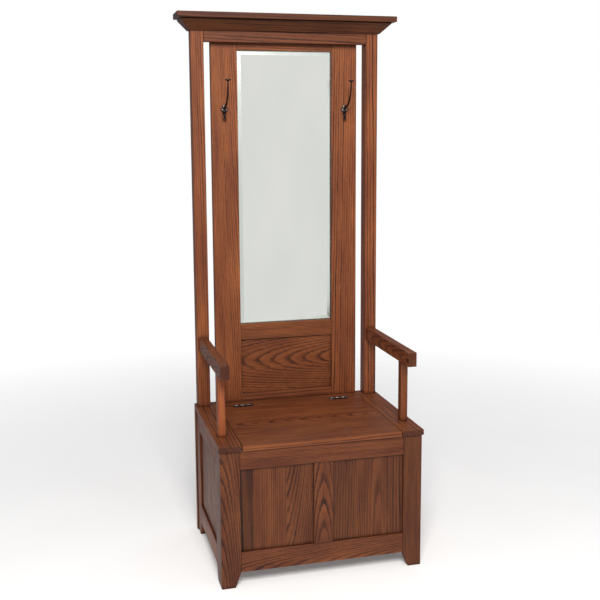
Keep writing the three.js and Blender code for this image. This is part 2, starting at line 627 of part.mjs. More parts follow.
// The flared end of a prong: a cone that opens to a flat face
function flaredCap(from, direction, { radius, height }) {
  const profile = [[0, 0], [CAP_NECK, 0], [radius, height * CAP_CONE], [radius, height], [0, height]];
  const geometry = new THREE.LatheGeometry(profile.map(([r, h]) => new THREE.Vector2(r, h)), ROUND_SIDES);
  const turn = new THREE.Quaternion().setFromUnitVectors(new THREE.Vector3(0, 1, 0), direction);
  geometry.applyQuaternion(turn);
  geometry.translate(from.x, from.y, from.z);
  return solidOf(geometry);
}

function prong(x, stations, cap) {
  const points = stations.map(([out, up]) => new THREE.Vector3(x, PLATE_FRONT - out, HOOK_Z + up));
  const line = new THREE.CatmullRomCurve3(points);
  const steps = STEPS_PER_STATION * stations.length;
  const rod = new THREE.ExtrudeGeometry(round(PRONG_RADIUS), { steps, extrudePath: line });
  const direction = line.getTangent(1);
  const capStart = line.getPoint(1).addScaledVector(direction, -CAP_OVERLAP);
  return solidOf(rod).add(flaredCap(capStart, direction, cap));
}

// The plate: an upright leaf, pointed at the bottom and rounded at the top, with an ear on each side
function hookPlate(x) {
  const top = HOOK_Z + PLATE.above;
  const tip = HOOK_Z - PLATE.below;
  const high = HOOK_Z + PLATE.straightAbove;
  const low = HOOK_Z - PLATE.straightBelow;
  const [left, right] = [x - PLATE.half, x + PLATE.half];
  const leaf = new THREE.Shape();
  leaf.moveTo(tip, x);
  leaf.quadraticCurveTo(tip + PLATE.point, right, low, right);
  leaf.lineTo(high, right);
  leaf.quadraticCurveTo(top, right, top, x);
  leaf.quadraticCurveTo(top, left, high, left);
  leaf.lineTo(low, left);
  leaf.quadraticCurveTo(tip + PLATE.point, left, tip, x);
  return prism('zx', leaf, [PLATE_FRONT, PLATE_BACK]);
}

function coatHook(x) {
  let hook = hookPlate(x).add(prong(x, UPPER_PRONG, UPPER_CAP)).add(prong(x, LOWER_PRONG, LOWER_CAP));
  for (const ear of [-EAR_X, EAR_X]) {
    hook = hook.add(barY(x + ear, [PLATE_FRONT, PLATE_BACK], HOOK_Z, EAR_RADIUS, ROUND_SIDES));
    const hole = [PLATE_FRONT - OVERCUT, PLATE_BACK + OVERCUT];
    hook = hook.subtract(barY(x + ear, hole, HOOK_Z, SCREW_HOLE));
  }
  return hook;
}

// A round-headed wood screw through one ear
function hookScrew(x) {
  const seatY = PLATE_FRONT - GLUE;
  const shank = barY(x, [seatY, BACK_FRAME_FRONT + SCREW_LENGTH], HOOK_Z, SCREW_RADIUS);
  const profile = [new THREE.Vector2(0, 0)];
  for (let i = 0; i <= DOME_STEPS; i += 1) {
    const angle = (i / DOME_STEPS) * (Math.PI / 2);
    const radius = i < DOME_STEPS ? SCREW_HEAD.radius * Math.cos(angle) : 0;
    profile.push(new THREE.Vector2(radius, SCREW_HEAD.height * Math.sin(angle)));
  }
  const head = new THREE.LatheGeometry(profile, SMALL_SIDES);
  head.rotateX(Math.PI);
  head.translate(x, seatY, HOOK_Z);
  return shank.add(solidOf(head));
}

for (const [label, side] of SIDES) {
  fit(back, `${label}_coat_hook`, coatHook(side * HOOK_X), BRONZE);
  for (const [earLabel, earSide] of SIDES) {
    fit(back, `${label}_hook_screw_${earLabel}`, hookScrew(side * HOOK_X + earSide * EAR_X), BRONZE);
  }
}

export default hallTree;
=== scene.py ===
"""The looks of the oak hall tree: boards with real grain, a bevelled mirror, bronze hooks and hinges."""

import json
import math
import random

import bmesh
import bpy
from mathutils import Matrix, Vector


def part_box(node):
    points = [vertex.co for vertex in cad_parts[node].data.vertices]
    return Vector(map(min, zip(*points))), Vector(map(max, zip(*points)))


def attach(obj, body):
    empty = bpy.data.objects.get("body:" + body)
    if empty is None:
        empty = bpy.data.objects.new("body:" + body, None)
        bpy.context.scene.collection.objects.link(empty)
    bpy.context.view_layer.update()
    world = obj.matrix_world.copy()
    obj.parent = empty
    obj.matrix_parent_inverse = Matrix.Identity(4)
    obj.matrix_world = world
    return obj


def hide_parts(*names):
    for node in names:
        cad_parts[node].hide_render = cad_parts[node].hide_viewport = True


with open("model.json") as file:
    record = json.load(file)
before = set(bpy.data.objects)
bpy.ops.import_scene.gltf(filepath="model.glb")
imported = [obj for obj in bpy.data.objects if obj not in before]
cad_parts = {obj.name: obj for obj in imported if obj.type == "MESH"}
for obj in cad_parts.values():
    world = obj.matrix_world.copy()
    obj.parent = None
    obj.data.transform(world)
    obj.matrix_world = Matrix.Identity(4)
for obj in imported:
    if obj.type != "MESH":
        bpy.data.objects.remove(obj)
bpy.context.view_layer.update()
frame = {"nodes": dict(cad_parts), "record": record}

MM = 0.001
NODES = frame["nodes"]
BODIES = frame["record"]["behaviour"]["bodies"]
BODY_OF = {node: body for body, members in BODIES.items() for node in members}
SLOT_OF = {part["node"]: part["material_slot"] for part in frame["record"]["subparts"]}

# How much each sharp edge is eased
EASE = 1.3 * MM  # on a board
EASE_STEPS = 2
METAL_EASE = 0.3 * MM  # on a hinge part
SHARP = math.radians(30)  # edges that turn by more than this are eased


# ---------------------------------------------------------------- node helpers


def new_material(name):
    """An empty node material with a Principled shader: (material, tree, shader)."""
    material = bpy.data.materials.new(name)
    material.use_nodes = True
    tree = material.node_tree
    tree.nodes.clear()
    output = tree.nodes.new("ShaderNodeOutputMaterial")
    shader = tree.nodes.new("ShaderNodeBsdfPrincipled")
    tree.links.new(shader.outputs["BSDF"], output.inputs["Surface"])
    return material, tree, shader


def feed(tree, socket, value):
    """Links an output to a socket, or sets the socket to a plain value."""
    if isinstance(value, bpy.types.NodeSocket):
        tree.links.new(value, socket)
    else:
        socket.default_value = value


def add_node(tree, kind, settings=None, **inputs):
    """A node of that kind, with its settings and its inputs (by name, spaces as underscores)."""
    node = tree.nodes.new(kind)
    for key, value in (settings or {}).items():
        setattr(node, key, value)
    for key, value in inputs.items():
        feed(tree, node.inputs[key.replace("_", " ")], value)
    return node


def math_node(tree, operation, a, b=0.0):
    node = tree.nodes.new("ShaderNodeMath")
    node.operation = operation
    feed(tree, node.inputs[0], a)
    feed(tree, node.inputs[1], b)
    return node.outputs[0]


def stretched(tree, vector, scale):
    """The vector multiplied by one scale for each axis."""
    node = tree.nodes.new("ShaderNodeVectorMath")
    node.operation = "MULTIPLY"
    tree.links.new(vector, node.inputs[0])
    node.inputs[1].default_value = scale
    return node.outputs[0]


def noise(tree, vector, scale, detail=2.0, roughness=0.5):
    return add_node(
        tree,
        "ShaderNodeTexNoise",
        {"noise_dimensions": "3D"},
        Vector=vector,
        Scale=scale,
        Detail=detail,
        Roughness=roughness,
    )


def streaked(tree, place, repeats, detail=2.0, roughness=0.5):
    """Noise drawn out along the grain: how often it repeats in a metre, for each axis."""
    return noise(tree, stretched(tree, place, repeats), 1.0, detail=detail, roughness=roughness)


def span(tree, value, low, high, to_low=0.0, to_high=1.0):
    """The value mapped from low..high to to_low..to_high, held at the ends."""
    node = tree.nodes.new("ShaderNodeMapRange")
    node.clamp = True
    feed(tree, node.inputs["Value"], value)
    node.inputs["From Min"].default_value = low
    node.inputs["From Max"].default_value = high
    node.inputs["To Min"].default_value = to_low
    node.inputs["To Max"].default_value = to_high
    return node.outputs["Result"]


def ramp(tree, value, stops):
    """A colour ramp with (position, colour) stops."""
    node = tree.nodes.new("ShaderNodeValToRGB")
    elements = node.color_ramp.elements
    while len(elements) < len(stops):
        elements.new(0.5)
    for element, (position, colour) in zip(elements, stops):
        element.position = position
        element.color = (*colour, 1.0)
    tree.links.new(value, node.inputs["Fac"])
    return node.outputs["Color"]


def blend_colour(tree, mode, factor, a, b):
    node = tree.nodes.new("ShaderNodeMix")
    node.data_type = "RGBA"
    node.blend_type = mode
    feed(tree, node.inputs["Factor"], factor)
    feed(tree, node.inputs["A"], a)
    feed(tree, node.inputs["B"], b)
    return node.outputs["Result"]


def bump(tree, height, distance, strength):
    node = tree.nodes.new("ShaderNodeBump")
    node.inputs["Strength"].default_value = strength
    node.inputs["Distance"].default_value = distance
    tree.links.new(height, node.inputs["Height"])
    return node.outputs["Normal"]


def attribute(tree, name):
    return add_node(tree, "ShaderNodeAttribute", {"attribute_name": name})


def linear(hex_colour):
    """An sRGB colour such as '7a4028' as linear red, green and blue."""
    channels = [int(hex_colour[i : i + 2], 16) / 255 for i in (0, 2, 4)]
    return tuple(c / 12.92 if c <= 0.04045 else ((c + 0.055) / 1.055) ** 2.4 for c in channels)


# ---------------------------------------------------------------- oak

RING = 7.6 * MM  # thickness of one year's growth
WANDER = 14 * MM  # how far the rings wander along a board
FEATHER = 3.4 * MM  # how far single fibres carry a ring's edge
CORNER = 14 * MM  # how far out of an inside corner the painted shade reaches
RELIEF = 0.25 * MM  # how deep the open grain lies
OAK_SPECULAR = 0.22

# How often each pattern of the wood repeats in a metre: both ways across the grain, then along it
FIBRES = (380.0, 380.0, 16.0)
BENDS = (9.0, 9.0, 1.6)
UNEVEN = (60.0, 60.0, 5.0)
PORES = (1500.0, 1500.0, 42.0)
STREAKS = (360.0, 360.0, 5.0)
CLOUDS = (14.0, 14.0, 3.5)
RUBBED = (22.0, 22.0, 9.0)

# How strongly the year's dark early wood shows, by the share of the year that has passed
YEAR = ((0.0, 0.0), (0.07, 1.0), (0.26, 0.9), (0.46, 0.2), (0.9, 0.0))

# What each mark multiplies the stain's colour by; the corner tint is painted shade
STREAK_TINT = (0.52, 0.44, 0.42, 1.0)
PORE_TINT = (0.34, 0.27, 0.24, 1.0)
END_GRAIN_TINT = (0.40, 0.37, 0.44, 1.0)
CORNER_SHADE_TINT = (0.3, 0.24, 0.24, 1.0)


def oak(name, dark, mid, light, base_roughness):
    """Stained oak as solid wood: growth rings round a pith line, open pores and a worn satin finish.

    The mesh attribute 'grain' holds each corner's place in the tree (Z along the trunk, pith at
    X = Y = 0), 'tone' makes a board lighter or darker for its stain and for painted light and shade,
    and 'end' is 1 on end grain.
    """
    material, tree, shader = new_material(name)
    place = attribute(tree, "grain").outputs["Vector"]
    end = attribute(tree, "end").outputs["Fac"]
    tone = attribute(tree, "tone").outputs["Fac"]

    # Rings: the distance from the pith, bent by slow noise
    fibres = streaked(tree, place, FIBRES)
    slow = streaked(tree, place, BENDS, detail=3.0)
    sway = add_node(tree, "ShaderNodeVectorMath", {"operation": "MULTIPLY_ADD"})
    tree.links.new(slow.outputs["Color"], sway.inputs[0])
    sway.inputs[1].default_value = (WANDER, WANDER, 0)
    tree.links.new(place, sway.inputs[2])
    flat = stretched(tree, sway.outputs["Vector"], (1, 1, 0))
    distance = add_node(tree, "ShaderNodeVectorMath", {"operation": "LENGTH"})
    tree.links.new(flat, distance.inputs[0])
    feather = math_node(tree, "MULTIPLY", fibres.outputs["Fac"], FEATHER)
    rings = math_node(tree, "DIVIDE", math_node(tree, "ADD", distance.outputs["Value"], feather), RING)
    year = math_node(tree, "FRACT", rings)

    # Early wood takes the stain dark at the start of each year and fades into the late wood
    early = ramp(tree, year, [(passed, (strength,) * 3) for passed, strength in YEAR])
    uneven = streaked(tree, place, UNEVEN, detail=3.0)
    early = math_node(tree, "MULTIPLY", early, span(tree, uneven.outputs["Fac"], 0.3, 0.6, 0.55, 1.0))

    # No two years are alike
    good_year = add_node(tree, "ShaderNodeTexWhiteNoise", {"noise_dimensions": "1D"})
    tree.links.new(math_node(tree, "FLOOR", rings), good_year.inputs["W"])
    early = math_node(tree, "MULTIPLY", early, span(tree, good_year.outputs["Value"], 0.0, 1.0, 0.42, 1.0))

    # Pores: short dark scratches along the grain, thickest in the early wood
    pores = streaked(tree, place, PORES, detail=1.0)
    pores = span(tree, pores.outputs["Fac"], 0.53, 0.7)
    streaks = streaked(tree, place, STREAKS)
    streaks = span(tree, streaks.outputs["Fac"], 0.42, 0.62)
    depth = math_node(tree, "MULTIPLY", pores, span(tree, early, 0.0, 0.7, 0.3, 1.0))

    # Colour: stain pools first, then the rings, streaks, pores and end grain
    cloud = streaked(tree, place, CLOUDS)
    ground = ramp(tree, cloud.outputs["Fac"], [(0.28, mid), (0.72, light)])
    colour = blend_colour(tree, "MIX", early, ground, (*dark, 1.0))
    streak_share = math_node(tree, "MULTIPLY", streaks, 0.5)
    colour = blend_colour(tree, "MULTIPLY", streak_share, colour, STREAK_TINT)
    colour = blend_colour(tree, "MULTIPLY", depth, colour, PORE_TINT)
    end_share = math_node(tree, "MULTIPLY", end, 0.9)
    colour = blend_colour(tree, "MULTIPLY", end_share, colour, END_GRAIN_TINT)

    # Painted shade: the colour darkens in the inside corners, where shade falls
    corner_shade = add_node(tree, "ShaderNodeAmbientOcclusion", {"samples": 6}, Distance=CORNER)
    corner_shade_share = span(tree, corner_shade.outputs["AO"], 0.45, 0.95, 0.8, 0.0)
    colour = blend_colour(tree, "MULTIPLY", corner_shade_share, colour, CORNER_SHADE_TINT)

    # The board's tone lightens or darkens it all: its own stain, and painted light and shade
    toned = add_node(tree, "ShaderNodeHueSaturation", Color=colour)
    tree.links.new(tone, toned.inputs["Value"])
    tree.links.new(toned.outputs["Color"], shader.inputs["Base Color"])

    # Satin finish: a little rougher in the open grain and where hands and coats have rubbed it
    rubbed = streaked(tree, place, RUBBED, detail=4.0, roughness=0.6)
    rough = span(tree, rubbed.outputs["Fac"], 0.3, 0.75, base_roughness, base_roughness + 0.16)
    rough = math_node(tree, "ADD", rough, math_node(tree, "MULTIPLY", early, 0.09))
    tree.links.new(rough, shader.inputs["Roughness"])
    shader.inputs["Specular IOR Level"].default_value = OAK_SPECULAR

    # The early wood lies a little low, and the pores lower still
    sunk_rings = math_node(tree, "MULTIPLY", early, -0.35)
    sunk_pores = math_node(tree, "MULTIPLY", depth, -1.0)
    relief = math_node(tree, "ADD", sunk_rings, sunk_pores)
    tree.links.new(bump(tree, relief, RELIEF, 0.8), shader.inputs["Normal"])
    return material


# ---------------------------------------------------------------- other materials


def object_place(tree):
    """The object's own coordinates, in metres."""
    return add_node(tree, "ShaderNodeTexCoord").outputs["Object"]


def hardboard():
    """Brown hardboard: fine pressed fibres, matt."""
    material, tree, shader = new_material("hardboard")
    place = object_place(tree)
    fibres = streaked(tree, place, (900.0, 900.0, 500.0), detail=4.0, roughness=0.7)
    blotches = noise(tree, place, 18.0, detail=3.0)
    fine = ramp(tree, fibres.outputs["Fac"], [(0.3, linear("4c3a2a")), (0.7, linear("7d634a"))])
    share = span(tree, blotches.outputs["Fac"], 0.35, 0.7, 0.0, 0.5)
    colour = blend_colour(tree, "MIX", share, fine, (*linear("5d4733"), 1.0))
    tree.links.new(colour, shader.inputs["Base Color"])
    tree.links.new(span(tree, fibres.outputs["Fac"], 0.3, 0.7, 0.72, 0.92), shader.inputs["Roughness"])
    tree.links.new(bump(tree, fibres.outputs["Fac"], 0.15 * MM, 0.6), shader.inputs["Normal"])
    return material


BEVEL_ROUGHNESS = 0.22  # the mirror's ground bevel is duller than its polished face
BEVEL_TINT = (0.88, 0.92, 0.9, 1.0)
BEVEL_TURN = (0.997, 0.999)  # a face whose normal's Y is under the first is bevel, over the second is flat


def mirror():
    """Silvered glass with a faint green body and a few hazy wipe marks."""
    material, tree, shader = new_material("mirror_glass")
    place = object_place(tree)
    haze = streaked(tree, place, (7.0, 7.0, 2.5), detail=4.0)
    tint = ramp(tree, haze.outputs["Fac"], [(0.3, linear("dee0db")), (0.7, linear("e5e6e1"))])
    normal = add_node(tree, "ShaderNodeSeparateXYZ")
    tree.links.new(add_node(tree, "ShaderNodeTexCoord").outputs["Normal"], normal.inputs[0])
    facing = math_node(tree, "ABSOLUTE", normal.outputs["Y"])
    bevel_share = span(tree, facing, *BEVEL_TURN, 1.0, 0.0)
    tint = blend_colour(tree, "MULTIPLY", bevel_share, tint, BEVEL_TINT)
    tree.links.new(tint, shader.inputs["Base Color"])
    shader.inputs["Metallic"].default_value = 1.0
    wiped = streaked(tree, place, (30.0, 30.0, 9.0), detail=3.0)
    polish = span(tree, wiped.outputs["Fac"], 0.35, 0.8, 0.012, 0.05)
    softer = math_node(tree, "MULTIPLY", bevel_share, BEVEL_ROUGHNESS)
    tree.links.new(math_node(tree, "ADD", polish, softer), shader.inputs["Roughness"])
    return material


def bronze(name, brown, worn, base_roughness):
    """Oil-rubbed metal: a mottled patina, paler on the edges that are handled."""
    material, tree, shader = new_material(name)
    place = object_place(tree)
    mottle = noise(tree, place, 260.0, detail=4.0, roughness=0.6)
    worn_map = noise(tree, place, 90.0, detail=3.0)
    edges = add_node(tree, "ShaderNodeNewGeometry").outputs["Pointiness"]
    edge_wear = span(tree, edges, 0.54, 0.62)
    patina = ramp(tree, mottle.outputs["Fac"], [(0.3, [c * 0.55 for c in brown]), (0.75, brown)])
    share = math_node(tree, "MULTIPLY", edge_wear, span(tree, worn_map.outputs["Fac"], 0.35, 0.6, 0.2, 0.9))
    colour = blend_colour(tree, "MIX", share, patina, (*worn, 1.0))
    tree.links.new(colour, shader.inputs["Base Color"])
    shader.inputs["Metallic"].default_value = 0.85
    low, high = base_roughness, base_roughness + 0.2
    tree.links.new(span(tree, mottle.outputs["Fac"], 0.3, 0.75, low, high), shader.inputs["Roughness"])
    tree.links.new(bump(tree, mottle.outputs["Fac"], 0.12 * MM, 0.5), shader.inputs["Normal"])
    return material


MATERIALS = {
    "stained_oak": oak("stained_oak", linear("2a120c"), linear("6b361d"), linear("8c502a"), 0.4),
    "inner_oak": oak("inner_oak", linear("2c1812"), linear("4d2c1d"), linear("623b28"), 0.5),
    "hardboard": hardboard(),
    "mirror_glass": mirror(),
    "dark_bronze": bronze("dark_bronze", linear("261a18"), linear("8a7d7a"), 0.3),
    "screw_steel": bronze("screw_steel", linear("a8a29c"), linear("dcd7d2"), 0.22),
}


# ---------------------------------------------------------------- pieces


def add_piece(node, mesh):
    """Puts a mesh into the scene in place of a CAD node, on that node's body and with its material."""
    piece = bpy.data.objects.new(f"{node}_piece", mesh)
    bpy.context.scene.collection.objects.link(piece)
    mesh.materials.clear()
    mesh.materials.append(MATERIALS[SLOT_OF[node]])
    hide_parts(node)
    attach(piece, BODY_OF[node])
    return piece


WELD = 0.01 * MM  # corners closer than this are one corner
COPLANAR = math.radians(0.5)


def cad_solid(node):
    """A copy of the CAD node's shape as a bmesh of plane faces."""
    solid = bmesh.new()
    solid.from_mesh(NODES[node].data)
    bmesh.ops.remove_doubles(solid, verts=solid.verts, dist=WELD)
    bmesh.ops.dissolve_limit(solid, angle_limit=COPLANAR, verts=solid.verts, edges=solid.edges)
    return solid


def ease_edges(solid, width=EASE, steps=EASE_STEPS):
    """Rounds every sharp outside edge by a small width."""
    outside = [edge for edge in solid.edges if len(edge.link_faces) == 2 and edge.is_convex]
    edges = [edge for edge in outside if edge.calc_face_angle(0.0) > SHARP]
    bmesh.ops.bevel(
        solid,
        geom=edges,
        offset=width,
        offset_type="OFFSET",
        segments=steps,
        profile=0.5,
        affect="EDGES",
        clamp_overlap=False,
    )


def smooth_by_area(piece):
    """Smooth shading that keeps the large faces flat and rolls only over the eased edges."""
    for face in piece.data.polygons:
        face.use_smooth = True
    modifier = piece.modifiers.new("weighted_normals", "WEIGHTED_NORMAL")
    modifier.mode = "FACE_AREA"
    modifier.weight = 100
    modifier.keep_sharp = True


# ---------------------------------------------------------------- wooden boards

AXES = (Vector((1, 0, 0)), Vector((0, 1, 0)), Vector((0, 0, 1)))
SIDE_PANELS = ("left_side_panel", "right_side_panel")  # their grain runs across their longer side
STAVE = 120 * MM  # the widest board in a glued panel
TRUNK = 40.0  # metres of trunk that the boards are cut from, so that no two boards match
DRIFT = 0.3  # the sideways part of a trunk's lean, as a share of it
TONE_CHANCE = (0.93, 1.07)  # how far any board may differ from its tone
END_GRAIN = 0.8  # a face whose normal lies this much along the grain is end grain
UNEVEN_STAVES = 0.2  # how far a glue joint may stray, as a share of a stave

# How the boards were sawn: how far (in mm) the pith lies under the face and off to the side, how far the
# trunk leans along the board, and how fast the tree grew against the average
SAWN = {
    "plain": {"depth": (50, 80), "side": (0, 20), "lean": (0.07, 0.1), "growth": (0.6, 0.8)},
    "rift": {"depth": (50, 100), "side": (60, 120), "lean": (0.008, 0.03), "growth": (0.8, 1.1)},
    "fine": {"depth": (60, 100), "side": (70, 120), "lean": (0.005, 0.02), "growth": (0.4, 0.55)},
}
# Which way each board was sawn, by a word in its name; the rest are rift-sawn
SAWING = {
    "arm_support": "fine",
    "arm": "plain",
    "front_bottom_rail": "plain",
    "side_panel": "plain",
    "back_board": "plain",
    "middle_rail": "fine",
    "front_top_rail": "fine",
    "right_front_stile": "fine",
    "left_inner_stile": "fine",
    "left_back_post": "fine",
}
# Plain-sawn boards whose figure stands out: the share of the width where its middle lies, the pith's
# depth, the trunk's lean, and the growth
FIGURED = {
    "front_muntin": (0.62, 42 * MM, 0.085, 0.85),
    "lower_back_panel": (0.62, 55 * MM, -0.13, 0.95),
    "left_front_stile": (0.0, 50 * MM, 0.1, 0.85),
}

# How light or dark each board is drawn, by a word in its name: partly its own stain, partly painted light
# and shade
BOARD_TONES_AND_SHADE = {
    "left_arm_support": 1.85,
    "arm_support": 1.0,
    "right_arm": 1.2,
    "inner_stile": 1.12,
    "left_back_post": 1.26,
    "back_post": 1.28,
    "front_panel": 0.72,
    "front_muntin": 0.66,
    "side_front_stile": 0.8,
    "side_panel": 0.85,
    "front_stile": 0.6,
    "front_bottom_rail": 0.72,
    "front_top_rail": 0.83,
    # painted shadow of the cap on the downward-facing moulding
    "crown_moulding": 0.5,
    "crown_top_rail": 0.88,
    "crown_cap": 0.62,
    "seat_lid": 1.1,
    "lower_back_panel": 0.97,
}

# The boards glued up into the widest pieces: the share of the width where each ends, its tone, and the
# way it was sawn
STAVES = {
    "seat_lid": ((0.3, 0.93, "fine"), (0.61, 1.0, "plain"), (0.881, 1.02, "rift"), (1.0, 1.05, "rift")),
    "left_front_panel": ((0.19, 0.6, "rift"), (0.62, 0.98, "fine"), (1.0, 0.84, "plain")),
    "right_front_panel": ((0.34, 0.72, "rift"), (0.68, 0.84, "fine"), (1.0, 0.78, "rift")),
}


def board_axes(node):
    """Which axes run along the grain, across the board's width and through its thickness."""
    low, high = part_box(node)
    size = high - low
    thick, wide, long = sorted(range(3), key=lambda axis: size[axis])
    if node in SIDE_PANELS:
        wide, long = long, wide
    return long, wide, thick


def tree_frame(node, chance, sawing):
    """A function that takes a point of the board to its place in the tree the board was sawn from."""
    long, wide, thick = board_axes(node)
    low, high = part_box(node)
    middle = (low + high) / 2
    start = chance.uniform(0.0, TRUNK)
    if node in FIGURED:
        share, depth, lean, growth = FIGURED[node]
        middle[wide] = low[wide] + share * (high[wide] - low[wide])
        side, drift, face = 0.0, 0.0, 1
    else:
        style = SAWN[sawing]
        middle[wide] = chance.uniform(low[wide], high[wide])
        depth = chance.uniform(*style["depth"]) * MM
        side = chance.choice((-1, 1)) * chance.uniform(*style["side"]) * MM
        lean = chance.choice((-1, 1)) * chance.uniform(*style["lean"])
        drift = chance.uniform(-DRIFT, DRIFT) * lean
        growth = chance.uniform(*style["growth"])
        face = chance.choice((-1, 1))

    def place(point):
        offset = point - middle
        along = offset[long]
        across = offset[wide] + side + drift * along
        down = face * offset[thick] + depth + lean * along
        return (across / growth, down / growth, along + start)

    return place, long


def by_word(table, node, otherwise):
    """The table's value for the first of its words that is in the node's name."""
    return next((value for word, value in table.items() if word in node), otherwise)


def add_grain(node, mesh, chance, splits=()):
    """Writes the attributes that the oak material reads. Each split starts another board."""
    wide = board_axes(node)[1]
    staves = STAVES.get(node, [(1.0, 1.0, by_word(SAWING, node, "rift"))] * (len(splits) + 1))
    frames = [tree_frame(node, chance, sawing) for _, _, sawing in staves]
    stain_and_shade = by_word(BOARD_TONES_AND_SHADE, node, 1.0)
    tones = [stain_and_shade * tone * chance.uniform(*TONE_CHANCE) for _, tone, _ in staves]
    count = len(mesh.loops)
    grain, tone, end = [0.0] * (3 * count), [1.0] * count, [0.0] * count
    for face in mesh.polygons:
        which = sum(face.center[wide] > split for split in splits)
        place, long = frames[which]
        is_end = 1.0 if abs(face.normal[long]) > END_GRAIN else 0.0
        for corner in face.loop_indices:
            point = mesh.vertices[mesh.loops[corner].vertex_index].co
            grain[3 * corner : 3 * corner + 3] = place(point)
            tone[corner] = tones[which]
            end[corner] = is_end
    mesh.attributes.new("grain", "FLOAT_VECTOR", "CORNER").data.foreach_set("vector", grain)
    mesh.attributes.new("tone", "FLOAT", "CORNER").data.foreach_set("value", tone)
    mesh.attributes.new("end", "FLOAT", "CORNER").data.foreach_set("value", end)


def glue_joints(node, chance):
    """Where one stave of a wide board is glued to the next, across the width."""
    wide = board_axes(node)[1]
    low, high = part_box(node)
    if node in STAVES:
        return tuple(low[wide] + share * (high[wide] - low[wide]) for share, _, _ in STAVES[node][:-1])
    staves = math.ceil((high[wide] - low[wide]) / STAVE)
    stave = (high[wide] - low[wide]) / staves
    stray = UNEVEN_STAVES
    return tuple(low[wide] + stave * (i + chance.uniform(-stray, stray)) for i in range(1, staves))


def wooden_board(node):
    """The CAD board with its glue joints, eased edges and grain."""
    chance = random.Random(node)
    solid = cad_solid(node)
    wide = AXES[board_axes(node)[1]]
    splits = glue_joints(node, chance)
    for split in splits:
        everything = solid.verts[:] + solid.edges[:] + solid.faces[:]
        bmesh.ops.bisect_plane(solid, geom=everything, plane_co=split * wide, plane_no=wide)
    ease_edges(solid)
    mesh = bpy.data.meshes.new(node)
    solid.to_mesh(mesh)
    solid.free()
    add_grain(node, mesh, chance, splits)
    smooth_by_area(add_piece(node, mesh))


for node in sorted(SLOT_OF):
    if SLOT_OF[node] in ("stained_oak", "inner_oak"):
        wooden_board(node)

for node in ("mirror_glass", "mirror_backing_board"):
    NODES[node].data.materials.clear()
    NODES[node].data.materials.append(MATERIALS[SLOT_OF[node]])


# ---------------------------------------------------------------- swept and turned metal

TURNED_SIDES = 24
ROD_SIDES = 20
ROD_STEPS = 6  # rings between one station of a rod and the next
CREASE = math.radians(50)  # metal that turns by more than this keeps a sharp edge


def ring_around(solid, centre, side, up, radius, count):
    """A ring of corners in the plane of two unit vectors."""
    return [
        solid.verts.new(centre + radius * (math.cos(t) * side + math.sin(t) * up))
        for t in (2 * math.pi * i / count for i in range(count))
    ]


def skin(solid, rings):
    """Faces between each ring and the next, with both ends closed."""
    for first, second in zip(rings, rings[1:]):
        for i in range(len(first)):
            j = (i + 1) % len(first)
            solid.faces.new((first[i], first[j], second[j], second[i]))
    solid.faces.new(list(reversed(rings[0])))
    solid.faces.new(rings[-1])


def smooth_line(points, steps):
    """Points on a Catmull-Rom curve through the given points, each a vector with its radius."""
    out = []
    for i in range(len(points) - 1):
        p0, p1, p2, p3 = (points[min(max(i + k, 0), len(points) - 1)] for k in (-1, 0, 1, 2))
        for step in range(steps):
            t = step / steps
            out.append(
                0.5
                * (
                    2 * p1
                    + (p2 - p0) * t
                    + (2 * p0 - 5 * p1 + 4 * p2 - p3) * t**2
                    + (3 * p1 - p0 - 3 * p2 + p3) * t**3
                )
            )
    out.append(points[-1].copy())
    return out


def tapered_rod(solid, points):
    """A rod through (x, y, z, radius) points in a plane of constant x; gives the way its end points."""
    line = smooth_line([Vector(p) for p in points], ROD_STEPS)
    side = Vector((1, 0, 0))
    rings = []
    for i, point in enumerate(line):
        ahead, behind = line[min(i + 1, len(line) - 1)], line[max(i - 1, 0)]
        tangent = Vector((ahead - behind)[:3]).normalized()
        rings.append(ring_around(solid, Vector(point[:3]), side, tangent.cross(side), point[3], ROD_SIDES))
    skin(solid, rings)
    return tangent


def turned(solid, centre, axis, profile):
    """A turned shape: (distance along the axis, radius) stations."""
    axis = axis.normalized()
    side = axis.orthogonal().normalized()
    up = axis.cross(side)
    skin(solid, [ring_around(solid, centre + axis * d, side, up, r, TURNED_SIDES) for d, r in profile])


def finish_metal(node, solid):
    """Makes the piece, smooth but for its creases."""
    bmesh.ops.recalc_face_normals(solid, faces=solid.faces)
    mesh = bpy.data.meshes.new(node)
    solid.to_mesh(mesh)
    solid.free()
    add_piece(node, mesh)
    for face in mesh.polygons:
        face.use_smooth = True
    mesh.set_sharp_from_angle(angle=CREASE)


# ---------------------------------------------------------------- coat hooks

HOOK_PLATE = 3.2 * MM
PLATE_EDGE = 1.8 * MM  # thickness of the plate at its edge, where its bevel starts
RAISED = 0.82  # the plate's raised face, as a share of its outline
UPPER_CAP_RADIUS = 10 * MM
UPPER_CAP_HEIGHT = 8 * MM
LOWER_CAP_HEIGHT = 4 * MM

# Half of the plate's outline, in mm across from its middle and up from the screws' height
HALF_LEAF = [(0, -26), (2.6, -21), (5.0, -15), (6.5, -10), (6.5, 9), (5.2, 14), (2.6, 16.5), (0, 17)]

# Turned shapes, in mm: how far along the axis, and the radius there
EAR = [(0, 5.5), (2.2, 5.4), (3.1, 4.6), (3.1, 3.7), (2.3, 3.0)]
UPPER_FLARE = [(-1, 2.0), (0, 2.5), (1.8, 4.6), (3.6, 7.6), (5.0, 9.7), (6.2, 10.0), (7.4, 9.9), (7.8, 9.2)]
LOWER_FLARE = [(-1, 2.4), (0, 3.0), (1.2, 4.6), (2.2, 6.2), (3.0, 6.5), (3.6, 6.2), (3.9, 5.0)]


def in_mm(profile):
    """A turned shape given in mm, in metres."""
    return [(distance * MM, radius * MM) for distance, radius in profile]


